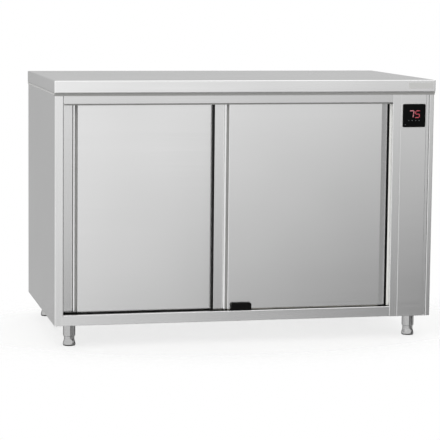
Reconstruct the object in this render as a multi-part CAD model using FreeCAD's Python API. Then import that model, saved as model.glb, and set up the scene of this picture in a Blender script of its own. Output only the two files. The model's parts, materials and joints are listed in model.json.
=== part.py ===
import FreeCAD, Part
import math
import os

# Plate warmer cabinet: an insulated, fan-heated cupboard under a steel worktop.
# Two sliding doors hang from a double track; a technical column stands at the right.
# Millimetres. X to the right, Y to the back, Z up; the origin is on the floor under the middle.

V = FreeCAD.Vector

# Overall size
width = 1280.0
depth = 700.0
height = 870.0

# Sheet metal and general fits
sheet = 1.2
fold_radius = 2.0
seam = 0.3
fit_gap = 0.5
run_gap = 0.05
overrun = 5.0
tolerance = 0.01

# Worktop: a folded tray, open underneath, with hat-shaped stiffeners
top_edge = 40.0
top_sheet = 1.5
top_corner = 2.5
top_lip = 15.0
side_overhang = 2.0
front_overhang = 8.0
rear_overhang = 2.0
stiffener_count = 3
stiffener_sheet = 1.5
stiffener_height = 25.0
stiffener_crown = 40.0
stiffener_flare = 6.0
stiffener_foot = 16.0
stiffener_end_margin = 50.0

# Body shell
leg_height = 74.0
side_wall = 28.0
rear_wall = 28.0
rear_recess = 16.0
rear_return = 12.0
stile_return = 25.0
right_stile = 26.0
column_width = 143.0
column_return = 15.0
column_return_depth = 12.0
fixing_flange = 20.0

# Rails across the front
top_rail_height = 36.0
top_rail_lip = 12.0
top_rail_shelf = 80.0
base_rail_height = 34.5
base_rail_lip = 8.0
base_rear_flange = 25.0

# Control fascia with its stepped right edge
fascia_return = 17.0
fascia_step = 3.5
fascia_step_width = 10.0

# Heated chamber
floor_height = 30.0
sill_drop = 12.0
sill_flange = 8.0
ceiling_depth = 40.0
liner_flange = 20.0

# Sliding doors
door_setback = 13.0
door_pitch = 25.0
door_thickness = 20.0
door_overlap = 93.0
door_lift = 1.5
door_tuck = 2.0
door_rear_gap = 12.0
door_travel_margin = 3.0
door_sheet = 1.0
door_fold_radius = 1.8
grip_width = 35.0
grip_recess = 10.0
grip_lip_width = 6.5
grip_lip_recess = 2.5
grip_groove_width = 5.5
grip_groove_depth = 14.0
door_margin_width = 21.0
door_margin_recess = 8.0

# Rubber stops for the doors
stop_left = 2.7
stop_right = 12.7
stop_gap = 0.3
stop_width = 14.0
stop_end_margin = 6.0

# Double track, hangers and rollers
track_height = 26.0
track_channel = 21.0
track_slot = 3.0
track_wall = 2.0
track_end_gap = 2.0
roller_radius = 9.0
roller_width = 8.0
roller_side_gap = 1.0
roller_run_margin = 0.5
roller_gap = 0.2
axle_radius = 2.5
axle_play = 0.5
axle_head = 1.5
axle_head_across = 8.0
hanger_inset = 80.0
hanger_foot_length = 44.0
hanger_foot_width = 14.0
hanger_foot_height = 3.0
hanger_plate_length = 24.0
hanger_plate = 2.0
hanger_head = 6.0

# Moulded guide for the lower door edges
guide_length = 69.0
guide_centre = -16.5
guide_height = 26.0
guide_front_gap = 1.0
guide_door_gap = 0.7
guide_base_gap = 6.0
guide_corner = 7.0
guide_rear_cheek = 6.0
guide_rear_height = 15.0

# Legs and levelling feet
leg_side_inset = 58.0
leg_front_inset = 68.0
leg_rear_inset = 78.0
leg_radius = 20.0
leg_tube_length = 42.0
leg_top = 4.0
leg_plate_side = 68.0
leg_plate_thickness = 3.0
foot_spindle_radius = 12.0
foot_spindle_length = 34.0
foot_neck_radius = 17.0
foot_neck_height = 9.0
foot_rim_radius = 21.0
foot_flare_height = 11.0
foot_rim = 2.5
foot_pad_radius = 14.0
foot_travel = 20.0
foot_tube_gap = 0.3

# Middle shelf on slotted uprights
shelf_height = 25.0
shelf_lip = 12.0
slots_under_shelf_count = 4
shelf_front_gap = 14.0
shelf_rear_gap = 8.0
shelf_side_gap = 2.0
upright_width = 24.0
upright_depth = 10.0
upright_end_gap = 8.0
upright_front_inset = 50.0
upright_rear_inset = 45.0
slot_height = 6.0
slot_width = 12.0
slot_pitch = 80.0
clip_sheet = 2.0
clip_width = 16.0
clip_reach = 14.0
clip_drop = 18.0
clip_tongue_width = 10.0
clip_tongue_height = 4.0
clip_tongue_length = 3.5

# Air circulation: fan, duct, heater and grilles
fan_side = 120.0
fan_depth = 38.0
fan_bore_radius = 56.0
fan_centre_y = 20.0
fan_centre_height = 480.0
fan_boss_radius = 20.0
fan_boss_depth = 12.0
fan_strut_width = 6.0
fan_strut_depth = 5.0
fan_strut_count = 4
fan_strut_turn = 45.0
fan_strut_sink = 0.5
rotor_hub_radius = 21.0
rotor_hub_depth = 21.0
rotor_hub_gap = 1.0
rotor_tip_gap = 1.5
rotor_shaft_radius = 3.0
rotor_shaft_length = 10.0
blade_count = 7
blade_thickness = 1.6
blade_root_chord = 22.0
blade_tip_chord = 34.0
blade_pitch = 58.0
blade_sink = 1.5
duct_depth = 92.0
duct_width = 190.0
duct_bottom_height = 170.0
duct_top_height = 560.0
duct_sheet = 1.0
duct_flange = 12.0
intake_side = 106.0
outlet_width = 120.0
outlet_height = 80.0
outlet_centre_height = 250.0
grille_sheet = 1.2
grille_margin = 16.0
grille_slot = 5.0
grille_bar = 6.0
heater_place_share = 0.5
heater_height = 300.0
heater_thickness = 9.0
heater_breadth = 40.0
heater_end = 16.0
fin_pitch = 12.0
fin_sheet = 1.0
fin_depth = 34.0
fin_height = 56.0
terminal_across = 7.0
terminal_post = 12.0
probe_radius = 3.0
probe_length = 55.0
probe_collar = 5.0
probe_across = 14.0
probe_y = 150.0
probe_height = 620.0

# Electric parts in the column
display_width = 80.0
display_height = 78.0
display_corner = 5.0
display_drop = 40.0
display_offset = 1.5
bezel_thickness = 2.5
bezel_border = 3.0
bezel_lap = 5.0
glass_inset = 0.4
case_depth = 58.0
case_wall = 2.0
board_thickness = 1.6
board_setback = 10.0
mounting_plate_y = -180.0
mounting_plate_bottom = 190.0
mounting_plate_top = 620.0
mounting_plate_flange = 12.0
terminal_length = 84.0
terminal_height = 26.0
terminal_depth = 24.0
terminal_ways = 6
terminal_centre_height = 250.0
terminal_slot = 5.0
thermostat_radius = 16.0
thermostat_depth = 20.0
thermostat_cap_radius = 6.0
thermostat_cap = 12.0
thermostat_base = 3.0
thermostat_base_length = 56.0
thermostat_centre_height = 400.0
vent_slot_length = 60.0
vent_slot_height = 6.0
vent_pitch = 14.0
vent_rows = 8
vent_top_drop = 130.0
vent_bottom_height = 260.0
gland_height = 160.0
gland_thread_radius = 8.0
gland_bore_radius = 4.5
gland_across = 22.0
gland_body_length = 6.0
gland_cap_length = 9.0
gland_nut = 5.0

# Faces that follow from the sizes above
body_left = -width / 2 + side_overhang
body_right = width / 2 - side_overhang
body_front = -depth / 2 + front_overhang
body_rear = depth / 2 - rear_overhang
body_bottom = leg_height
body_top = height - top_edge
inside_left = body_left + sheet
inside_right = body_right - sheet
inside_bottom = body_bottom + sheet
inside_top = body_top - sheet
liner_bottom = inside_bottom + leg_plate_thickness
rear_face = body_rear - rear_recess
rear_inside = rear_face - sheet
chamber_left = body_left + side_wall
divider_x = body_right - column_width
chamber_rear = rear_face - rear_wall
chamber_floor = body_bottom + floor_height
chamber_ceiling = body_top - ceiling_depth
sill_top = chamber_floor - sill_drop
rail_top = body_bottom + base_rail_height
fascia_left = divider_x + right_stile + seam
fascia_right = body_right - column_return - seam
column_middle = (divider_x + body_right) / 2

# Door faces
front_door_y = body_front + door_setback
rear_door_y = front_door_y + door_pitch
door_zone_rear = rear_door_y + door_thickness + door_rear_gap
door_bottom = rail_top + door_lift
door_top = body_top - top_rail_height + door_tuck
doors_left = chamber_left + stop_left + stop_gap
doors_right = divider_x - stop_right - stop_gap
door_width = (doors_right - doors_left + door_overlap) / 2
door_travel = door_width - door_overlap - door_travel_margin
right_door_left = doors_right - door_width
track_top = inside_top
track_bottom = track_top - track_height
axle_z = track_bottom + track_wall + roller_radius + roller_gap

# Leg and shelf places
leg_places = {
    "front_left": (-width / 2 + leg_side_inset, -depth / 2 + leg_front_inset),
    "front_right": (width / 2 - leg_side_inset, -depth / 2 + leg_front_inset),
    "rear_left": (-width / 2 + leg_side_inset, depth / 2 - leg_rear_inset),
    "rear_right": (width / 2 - leg_side_inset, depth / 2 - leg_rear_inset),
}
upright_bottom = chamber_floor + upright_end_gap
upright_top = chamber_ceiling - upright_end_gap
upright_ys = (door_zone_rear + upright_front_inset, chamber_rear - upright_rear_inset)
shelf_slot_z = upright_bottom + slots_under_shelf_count * slot_pitch + slot_pitch / 2
shelf_bottom = shelf_slot_z + clip_drop / 2
duct_front = fan_centre_y - duct_width / 2
duct_rear = fan_centre_y + duct_width / 2
display_x = (fascia_left + fascia_right - fascia_step_width) / 2 + display_offset
display_z = body_top - display_drop - display_height / 2


def place(plane, u, v, w):
    # plan: X, Y pushed up Z; side: Y, Z pushed along X; front: X, Z pushed along Y
    return {"plan": V(u, v, w), "side": V(w, u, v), "front": V(u, w, v)}[plane]


def box(x0, x1, y0, y1, z0, z1):
    return Part.makeBox(x1 - x0, y1 - y0, z1 - z0, V(x0, y0, z0))


def rod(radius, start, end):
    axis = end - start
    return Part.makeCylinder(radius, axis.Length, start, axis)


def corner_arc(before, corner, after, radius):
    # Start, middle and end of the arc that rounds a corner
    if radius == 0:
        return corner, None, corner
    to_before = (before - corner).normalize()
    to_after = (after - corner).normalize()
    half = to_before.getAngle(to_after) / 2
    reach = radius / math.tan(half)
    inward = (to_before + to_after).normalize()
    middle = corner + inward * (radius / math.sin(half) - radius)
    return corner + to_before * reach, middle, corner + to_after * reach


def outline(plane, points, radii, at):
    # A closed wire through points, each rounded by its own radius
    flat = [V(u, v, 0) for u, v in points]
    arcs = []
    for i, corner in enumerate(flat):
        arcs.append(corner_arc(flat[i - 1], corner, flat[(i + 1) % len(flat)], radii[i]))
    edges = []
    for i, (start, middle, end) in enumerate(arcs):
        lift = [p and place(plane, p.x, p.y, at) for p in (start, middle, end, arcs[(i + 1) % len(arcs)][0])]
        if middle:
            edges.append(Part.Arc(lift[0], lift[1], lift[2]).toShape())
        if (lift[3] - lift[2]).Length > tolerance:
            edges.append(Part.LineSegment(lift[2], lift[3]).toShape())
    return Part.Wire(edges)


def prism(plane, points, start, end, radii=None):
    face = Part.Face(outline(plane, points, radii or [0] * len(points), start))
    return face.extrude(place(plane, 0, 0, end - start))


def offset_path(path, distance):
    # The path moved sideways to its left, with mitred corners
    flat = [V(u, v, 0) for u, v in path]
    steps = [(b - a).normalize() for a, b in zip(flat, flat[1:])]
    lefts = [V(-d.y, d.x, 0) for d in steps]
    moved = []
    for i, point in enumerate(flat):
        before, after = lefts[max(i - 1, 0)], lefts[min(i, len(lefts) - 1)]
        moved.append(point + (before + after) * (distance / (1 + before.dot(after))))
    return [(p.x, p.y) for p in moved]


def folded(plane, path, start, end, thickness=sheet, side=1, radius=fold_radius):
    # A sheet folded along path, which is its outer face; side says where its thickness lies
    flat = [V(u, v, 0) for u, v in path]
    turns = [(b - a).cross(c - b).z * side for a, b, c in zip(flat, flat[1:], flat[2:])]
    rounds = [0] + [radius if turn > 0 else 0 for turn in turns] + [0]
    points = list(path) + offset_path(path, thickness * side)[::-1]
    return prism(plane, points, start, end, rounds + [0] * len(path))


def tray(x0, x1, y0, y1, z0, z1, thickness, lip, corner):
    # A folded tray, open underneath, with an inward lip round the bottom
    outer = box(x0, x1, y0, y1, z0, z1)
    if corner:
        outer = outer.makeFillet(corner, [e for e in outer.Edges if e.BoundBox.ZMin > z1 - thickness])
    t = thickness
    hollow = box(x0 + t, x1 - t, y0 + t, y1 - t, z0 + t, z1 - t)
    mouth = box(x0 + lip, x1 - lip, y0 + lip, y1 - lip, z0 - overrun, z0 + t + overrun)
    return outer.cut(hollow).cut(mouth)


def hexagon(plane, u, v, across, start, end):
    # Six-sided bar, its corners at 60 degree steps about the middle
    radius = across / 2 / math.cos(math.pi / 6)
    turns = [k * math.pi / 3 for k in range(6)]
    corners = [(u + radius * math.cos(a), v + radius * math.sin(a)) for a in turns]
    return prism(plane, corners, start, end)


def solid_of(shape):
    # Booleans hand back compounds; one piece is one solid
    return shape.removeSplitter().Solids[0]


def worktop():
    return tray(-width / 2, width / 2, -depth / 2, depth / 2, body_top, height,
                top_sheet, top_lip, top_corner)


def worktop_stiffeners():
    # Hat profiles hung under the top sheet, crown down
    top = height - top_sheet
    half_crown = stiffener_crown / 2
    half_mouth = half_crown + stiffener_flare
    half_all = half_mouth + stiffener_foot
    ends = width / 2 - stiffener_end_margin
    hats = []
    for i in range(stiffener_count):
        y = depth * ((i + 1) / (stiffener_count + 1) - 1 / 2)
        path = [(y - half_all, top), (y - half_mouth, top), (y - half_crown, top - stiffener_height)]
        path += [(y + half_crown, top - stiffener_height), (y + half_mouth, top), (y + half_all, top)]
        hats.append(folded("side", path, -ends, ends, stiffener_sheet, -1, 0))
    return Part.makeCompound(hats)


def side_flanges(shape, x0, x1):
    # Top flange that carries the worktop
    front = body_front + stile_return + seam
    flange = box(x0, x1, front, rear_inside - seam, inside_top, body_top)
    return solid_of(shape.fuse(flange))


def left_side_panel():
    # The front fold is the left stile, with its return into the door opening
    path = [(chamber_left, body_front + stile_return), (chamber_left, body_front), (body_left, body_front)]
    path += [(body_left, body_rear), (body_left + rear_return, body_rear)]
    panel = folded("plan", path, body_bottom, body_top, side=-1)
    return side_flanges(panel, body_left + sheet / 2, body_left + fixing_flange)


def right_side_panel():
    inner = body_right - column_return
    path = [(inner, body_front + column_return_depth), (inner, body_front), (body_right, body_front)]
    path += [(body_right, body_rear), (body_right - rear_return, body_rear)]
    panel = folded("plan", path, body_bottom, body_top)
    return side_flanges(panel, body_right - fixing_flange, body_right - sheet / 2)


def rear_panel():
    # Set in between the side panels, slotted behind the technical column
    lip = body_rear - sheet - seam
    path = [(inside_left, lip), (inside_left, rear_inside), (inside_right, rear_inside), (inside_right, lip)]
    panel = folded("plan", path, body_bottom, body_top)
    for top in (body_top - vent_top_drop, vent_bottom_height + vent_rows * vent_pitch):
        for row in range(vent_rows):
            z = top - row * vent_pitch
            panel = panel.cut(box(column_middle - vent_slot_length / 2, column_middle + vent_slot_length / 2,
                                  rear_inside - overrun, rear_face + overrun, z, z + vent_slot_height))
    hole = rod(gland_thread_radius + run_gap, V(column_middle, rear_inside - overrun, gland_height),
               V(column_middle, rear_face + overrun, gland_height))
    return solid_of(panel.cut(hole))


def base_pan():
    # Bottom sheet whose front fold is the bottom rail
    path = [(body_front + base_rail_lip, rail_top), (body_front, rail_top), (body_front, body_bottom)]
    path += [(rear_inside, body_bottom), (rear_inside, body_bottom + base_rear_flange)]
    pan = folded("side", path, chamber_left, divider_x)
    flange_top = body_bottom + base_rear_flange
    behind_stile = body_front + stile_return + seam
    behind_return = body_front + column_return_depth + seam
    fascia_end = body_right - column_return
    for x0, x1, y0 in ((inside_left, chamber_left, behind_stile), (divider_x, fascia_end, body_front),
                       (fascia_end, inside_right, behind_return)):
        pan = pan.fuse(box(x0, x1, y0, rear_inside, body_bottom, inside_bottom))
        pan = pan.fuse(box(x0, x1, rear_inside - sheet, rear_inside, body_bottom, flange_top))
    for x0, x1, y1 in ((inside_left, chamber_left - sheet - seam, behind_stile),
                       (fascia_end + sheet + seam, inside_right, behind_return)):
        pan = pan.fuse(box(x0, x1, body_front + sheet, y1, body_bottom, inside_bottom))
    return solid_of(pan)


def top_rail():
    bottom = body_top - top_rail_height
    path = [(body_front + top_rail_lip, bottom), (body_front, bottom), (body_front, body_top)]
    path += [(body_front + top_rail_shelf, body_top)]
    return folded("side", path, chamber_left + seam, divider_x - seam, side=-1)


def divider_wall():
    # The front fold is the right stile; two windows let the air through
    path = [(divider_x + right_stile, body_front), (divider_x, body_front), (divider_x, chamber_rear)]
    path += [(divider_x + liner_flange, chamber_rear)]
    wall = folded("plan", path, inside_bottom, body_top, side=-1)
    low, high = divider_x - overrun, divider_x + sheet + overrun
    for breadth, tall, z in ((intake_side, intake_side, fan_centre_height),
                             (outlet_width, outlet_height, outlet_centre_height)):
        wall = wall.cut(box(low, high, fan_centre_y - breadth / 2, fan_centre_y + breadth / 2,
                            z - tall / 2, z + tall / 2))
    return solid_of(wall)


def control_fascia():
    step_x = fascia_right - fascia_step_width
    back = body_front + fascia_return
    path = [(fascia_left, back), (fascia_left, body_front), (step_x, body_front)]
    path += [(step_x, body_front + fascia_step), (fascia_right, body_front + fascia_step)]
    path += [(fascia_right, back)]
    panel = folded("plan", path, inside_bottom, body_top)
    half_w = display_width / 2 - bezel_lap + run_gap
    half_h = display_height / 2 - bezel_lap + run_gap
    window = box(display_x - half_w, display_x + half_w, body_front - overrun, body_front + overrun,
                 display_z - half_h, display_z + half_h)
    return solid_of(panel.cut(window))


def chamber_left_wall():
    front = body_front + stile_return
    path = [(inside_left, front), (chamber_left, front)]
    path += [(chamber_left, chamber_rear), (inside_left, chamber_rear)]
    return folded("plan", path, liner_bottom, inside_top, radius=0)


def chamber_rear_wall():
    back = chamber_rear + liner_flange
    path = [(back, inside_top - seam), (chamber_rear, inside_top - seam)]
    path += [(chamber_rear, liner_bottom + seam), (back, liner_bottom + seam)]
    return folded("side", path, chamber_left, divider_x, radius=0)


def chamber_ceiling_sheet():
    path = [(door_zone_rear, inside_top), (door_zone_rear, chamber_ceiling), (chamber_rear, chamber_ceiling)]
    return folded("side", path, chamber_left, divider_x, radius=0)


def chamber_floor_sheet():
    # Steps down in front into the sill under the doors
    sill_front = body_front + 2 * sheet
    path = [(chamber_rear, chamber_floor), (door_zone_rear, chamber_floor), (door_zone_rear, sill_top)]
    path += [(sill_front, sill_top), (sill_front, sill_top + sill_flange)]
    return folded("side", path, chamber_left, divider_x)


def insulation_slabs():
    # One slab per wall, each between its two sheets
    g = fit_gap
    clear = sheet + fit_gap
    return {
        "left_insulation": box(inside_left + g, chamber_left - clear, body_front + stile_return + clear,
                               chamber_rear - clear, liner_bottom + g, inside_top - g),
        "rear_insulation": box(chamber_left, divider_x, chamber_rear + clear, rear_inside - clear,
                               liner_bottom + clear + seam, inside_top - clear - seam),
        "ceiling_insulation": box(chamber_left + g, divider_x - g, door_zone_rear + clear,
                                  chamber_rear - g, chamber_ceiling + clear, inside_top - g),
        "floor_insulation": box(chamber_left + g, divider_x - g, door_zone_rear + clear,
                                chamber_rear - g, liner_bottom + g, chamber_floor - clear),
    }


def middle_shelf():
    side = upright_depth + shelf_side_gap + clip_sheet
    return tray(chamber_left + side, divider_x - side, door_zone_rear + shelf_front_gap,
                chamber_rear - shelf_rear_gap, shelf_bottom, shelf_bottom + shelf_height,
                sheet, shelf_lip, 0)


def upright(wall_x, inward, y):
    # A slotted channel with its open side against the wall
    half = upright_width / 2
    face = wall_x + inward * upright_depth
    path = [(wall_x, y - half), (face, y - half), (face, y + half), (wall_x, y + half)]
    channel = folded("plan", path, upright_bottom, upright_top, side=inward, radius=0)
    inner, outer = sorted((face - inward * (sheet + overrun), face + inward * overrun))
    for i in range(int((upright_top - upright_bottom) / slot_pitch)):
        z = upright_bottom + (i + 1 / 2) * slot_pitch
        channel = channel.cut(box(inner, outer, y - slot_width / 2, y + slot_width / 2,
                                  z - slot_height / 2, z + slot_height / 2))
    return solid_of(channel)


def clip(wall_x, inward, y):
    # An angle whose tongue hooks into the upright and whose arm carries the shelf
    face = wall_x + inward * upright_depth
    path = [(face, shelf_bottom - clip_drop), (face, shelf_bottom)]
    path += [(face + inward * clip_reach, shelf_bottom)]
    angle = folded("front", path, y - clip_width / 2, y + clip_width / 2, clip_sheet, -inward, 0)
    ends = sorted((face + inward * clip_sheet / 2, face - inward * clip_tongue_length))
    tongue = box(ends[0], ends[1], y - clip_tongue_width / 2, y + clip_tongue_width / 2,
                 shelf_slot_z - clip_tongue_height / 2, shelf_slot_z + clip_tongue_height / 2)
    return solid_of(angle.fuse(tongue))


def along_walls(make):
    return Part.makeCompound([make(x, inward, y) for x, inward in ((chamber_left, 1), (divider_x, -1))
                              for y in upright_ys])


def track_channel_points(centre):
    # One channel from its slot round and back: the slot lies behind the roller's lip
    half = track_channel / 2
    slot_front = centre + roller_width / 2 + roller_side_gap - roller_run_margin
    slot_rear = slot_front + track_slot
    lip_top, roof = track_bottom + track_wall, track_top - track_wall
    points = [(slot_front, track_bottom), (slot_front, lip_top), (centre - half, lip_top)]
    points += [(centre - half, roof), (centre + half, roof), (centre + half, lip_top)]
    return points + [(slot_rear, lip_top), (slot_rear, track_bottom)]


def door_track():
    # Two channels side by side, slotted underneath for the hangers
    front = front_door_y + door_thickness / 2
    rear = front + door_pitch
    reach = track_channel / 2 + track_wall
    points = [(front - reach, track_top), (front - reach, track_bottom)]
    points += track_channel_points(front) + track_channel_points(rear)
    points += [(rear + reach, track_bottom), (rear + reach, track_top)]
    return prism("side", points, chamber_left + track_end_gap, divider_x - track_end_gap)


def door_guide():
    # Cheeks before, between and behind the two doors; the front one hooks over the bottom rail
    g = guide_door_gap
    top = rail_top + guide_height
    low_top = door_bottom + guide_rear_height
    base_top = door_bottom - guide_base_gap
    foot_front = body_front + base_rail_lip + seam
    fin_front, fin_rear = front_door_y + door_thickness + g, rear_door_y - g
    rear_front = rear_door_y + door_thickness + g
    hook_front = body_front + guide_front_gap
    points = [(foot_front, sill_top), (foot_front, rail_top + seam), (hook_front, rail_top + seam)]
    points += [(hook_front, top), (front_door_y - g, top), (front_door_y - g, base_top)]
    points += [(fin_front, base_top), (fin_front, low_top), (fin_rear, low_top), (fin_rear, base_top)]
    points += [(rear_front, base_top), (rear_front, low_top), (rear_front + guide_rear_cheek, low_top)]
    points += [(rear_front + guide_rear_cheek, sill_top)]
    x0, x1 = guide_centre - guide_length / 2, guide_centre + guide_length / 2
    guide = prism("side", points, x0, x1)
    corners = [e for e in guide.Edges if e.BoundBox.ZLength < tolerance
               and e.BoundBox.XLength < tolerance and e.CenterOfMass.z > top - tolerance]
    return guide.makeFillet(guide_corner, corners)


def door_stops():
    # Rubber strips where each door ends its travel, on both walls
    strips = []
    for y in (front_door_y + door_thickness / 2, rear_door_y + door_thickness / 2):
        for x0, x1 in ((chamber_left, chamber_left + stop_left), (divider_x - stop_right, divider_x)):
            strips.append(box(x0, x1, y - stop_width / 2, y + stop_width / 2,
                              door_bottom, door_top - stop_end_margin))
    return Part.makeCompound(strips)


def door_section(left, front, inset):
    # Plan outline of the door skin from its left return to its right return, moved in by inset
    lip = left + grip_width
    groove = lip + grip_lip_width
    panel = groove + grip_groove_width
    margin = left + door_width - door_margin_width
    right = left + door_width
    back = front + door_thickness - door_sheet
    path = [(left, back), (left, front + grip_recess), (lip, front + grip_recess)]
    path += [(lip, front + grip_lip_recess), (groove, front + grip_lip_recess)]
    path += [(groove, front + grip_groove_depth)]
    path += [(panel, front + grip_groove_depth), (panel, front), (margin, front)]
    path += [(margin, front + door_margin_recess), (right, front + door_margin_recess), (right, back)]
    return offset_path(path, inset) if inset else path


def door_core(left, front):
    # Foam board that fills the door behind its folds
    g = door_sheet + fit_gap
    lip = left + grip_width - g
    panel = left + grip_width + grip_lip_width + grip_groove_width + g
    margin = left + door_width - door_margin_width - g
    right, back = left + door_width - g, front + door_thickness - g
    points = [(left + g, front + grip_recess + g), (lip, front + grip_recess + g)]
    points += [(lip, front + grip_groove_depth + g), (panel, front + grip_groove_depth + g)]
    points += [(panel, front + g), (margin, front + g), (margin, front + door_margin_recess + g)]
    points += [(right, front + door_margin_recess + g), (right, back), (left + g, back)]
    return prism("plan", points, door_bottom + g, door_top - g)


def door_back(left, front):
    # Back sheet with the two end caps, which follow the folds of the skin
    inner = door_section(left, front, door_sheet + run_gap)
    back = front + door_thickness - door_sheet
    cap = [(inner[0][0], back)] + inner[1:-1] + [(inner[-1][0], back)]
    plate = box(left, left + door_width, back, back + door_sheet, door_bottom, door_top)
    low = prism("plan", cap, door_bottom, door_bottom + door_sheet)
    high = prism("plan", cap, door_top - door_sheet, door_top)
    return solid_of(plate.fuse(low).fuse(high))


def hanger_xs(left):
    return (left + hanger_inset, left + door_width - hanger_inset)


def hanger(x, y):
    # Foot on the door's top edge, a plate behind the roller and the headed axle riveted into it
    foot = box(x - hanger_foot_length / 2, x + hanger_foot_length / 2, y - hanger_foot_width / 2,
               y + hanger_foot_width / 2, door_top, door_top + hanger_foot_height)
    half, top = hanger_plate_length / 2, axle_z + hanger_head
    points = [(x - half, door_top), (x + half, door_top), (x + half, axle_z), (x + hanger_head, top)]
    points += [(x - hanger_head, top), (x - half, axle_z)]
    plate_y = y + roller_width / 2 + roller_side_gap
    plate = prism("front", points, plate_y, plate_y + hanger_plate)
    head_rear = y - roller_width / 2 - axle_play
    head = hexagon("front", x, axle_z, axle_head_across, head_rear - axle_head, head_rear)
    axle = rod(axle_radius, V(x, head_rear - axle_head / 2, axle_z),
               V(x, plate_y + hanger_plate / 2, axle_z))
    return solid_of(foot.fuse(plate).fuse(axle).fuse(head))


def roller(x, y):
    # Bored wheel, free on its axle
    half = roller_width / 2
    wheel = rod(roller_radius, V(x, y - half, axle_z), V(x, y + half, axle_z))
    bore = rod(axle_radius + run_gap, V(x, y - half - overrun, axle_z), V(x, y + half + overrun, axle_z))
    return wheel.cut(bore)


def door_pieces(side, left, front):
    # Every piece of one door; its rollers are pieces of their own
    y = front + door_thickness / 2
    xs = hanger_xs(left)
    return {
        f"{side}_door_skin": folded("plan", door_section(left, front, 0), door_bottom, door_top,
                                    door_sheet, radius=door_fold_radius),
        f"{side}_door_back": door_back(left, front),
        f"{side}_door_core": door_core(left, front),
        f"{side}_door_hangers": Part.makeCompound([hanger(x, y) for x in xs]),
        f"{side}_door_left_roller": roller(xs[0], y),
        f"{side}_door_right_roller": roller(xs[1], y),
    }


def turned(points, x, y):
    # A turned piece about the vertical through x, y; points are radius and height
    wire = Part.makePolygon([V(x + r, y, z) for r, z in points + points[:1]])
    return Part.Face(wire).revolve(V(x, y, 0), V(0, 0, 1), 360)


def leg_tube(x, y):
    # Tube with a closed top and a threaded lower end for the foot's spindle
    low, high = body_bottom - leg_tube_length, body_bottom
    bore = foot_spindle_radius + run_gap
    return turned([(bore, low), (leg_radius, low), (leg_radius, high), (0, high), (0, high - leg_top),
                   (bore, high - leg_top)], x, y)


def leg_plate(x, y):
    # Reinforcement on the pan over each leg
    half = leg_plate_side / 2
    return box(x - half, x + half, y - half, y + half, inside_bottom, inside_bottom + leg_plate_thickness)


def foot(x, y):
    # Turned foot: pad, belly, rim, drawn-in neck and the spindle above
    tube_end = body_bottom - leg_tube_length - foot_tube_gap
    rim_high = tube_end - foot_neck_height - foot_flare_height
    rim_low = rim_high - foot_rim
    return turned([(0, 0), (foot_pad_radius, 0), (foot_rim_radius, rim_low), (foot_rim_radius, rim_high),
                   (foot_neck_radius, rim_high + foot_flare_height), (foot_neck_radius, tube_end),
                   (foot_spindle_radius, tube_end), (foot_spindle_radius, tube_end + foot_spindle_length),
                   (0, tube_end + foot_spindle_length)], x, y)


def at_legs(make):
    return Part.makeCompound([make(x, y) for x, y in leg_places.values()])


def grille(breadth, tall, centre_z):
    # A slotted plate over an air window, on the chamber side
    x0, x1 = divider_x - grille_sheet, divider_x
    u, v, y = breadth / 2 + grille_margin, tall / 2 + grille_margin, fan_centre_y
    plate = box(x0, x1, y - u, y + u, centre_z - v, centre_z + v)
    rows = int(tall / (grille_slot + grille_bar))
    for i in range(rows):
        z = centre_z + (i - (rows - 1) / 2) * (grille_slot + grille_bar)
        plate = plate.cut(box(x0 - overrun, x1 + overrun, y - breadth / 2, y + breadth / 2,
                              z - grille_slot / 2, z + grille_slot / 2))
    return solid_of(plate)


def air_grilles():
    return Part.makeCompound([grille(intake_side, intake_side, fan_centre_height),
                              grille(outlet_width, outlet_height, outlet_centre_height)])


def air_duct():
    # Five-sided hood behind the divider, with a flange round its mouth
    x0, x1, t = divider_x + sheet, divider_x + sheet + duct_depth, duct_sheet
    low, high, f = duct_bottom_height, duct_top_height, duct_flange
    hood = box(x0, x1, duct_front, duct_rear, low, high)
    rim = box(x0, x0 + t, duct_front - f, duct_rear + f, low - f, high + f)
    hollow = box(x0 - overrun, x1 - t, duct_front + t, duct_rear - t, low + t, high - t)
    return solid_of(hood.fuse(rim).cut(hollow))


def heater_element():
    # Finned strip across the duct, held by its end tabs, with two terminal posts
    x = divider_x + sheet + duct_depth * heater_place_share
    y0, y1 = duct_front + duct_sheet, duct_rear - duct_sheet
    strip = box(x - heater_thickness / 2, x + heater_thickness / 2, y0, y1,
                heater_height - heater_breadth / 2, heater_height + heater_breadth / 2)
    inner0, inner1 = y0 + heater_end, y1 - heater_end
    count = int((inner1 - inner0) / fin_pitch) + 1
    for i in range(count):
        y = inner0 + i * (inner1 - inner0) / (count - 1)
        strip = strip.fuse(box(x - fin_depth / 2, x + fin_depth / 2, y - fin_sheet / 2, y + fin_sheet / 2,
                               heater_height - fin_height / 2, heater_height + fin_height / 2))
    top = heater_height + heater_breadth / 2
    for y in (y0 + heater_end / 2, y1 - heater_end / 2):
        strip = strip.fuse(hexagon("plan", x, y, terminal_across, top, top + terminal_post))
    return solid_of(strip)


def temperature_probe():
    # Thin rod that reaches into the chamber from a six-sided collar on the divider
    collar = hexagon("side", probe_y, probe_height, probe_across, divider_x - probe_collar, divider_x)
    stem = rod(probe_radius, V(divider_x - probe_length, probe_y, probe_height),
               V(divider_x - probe_collar / 2, probe_y, probe_height))
    return solid_of(collar.fuse(stem))


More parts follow.
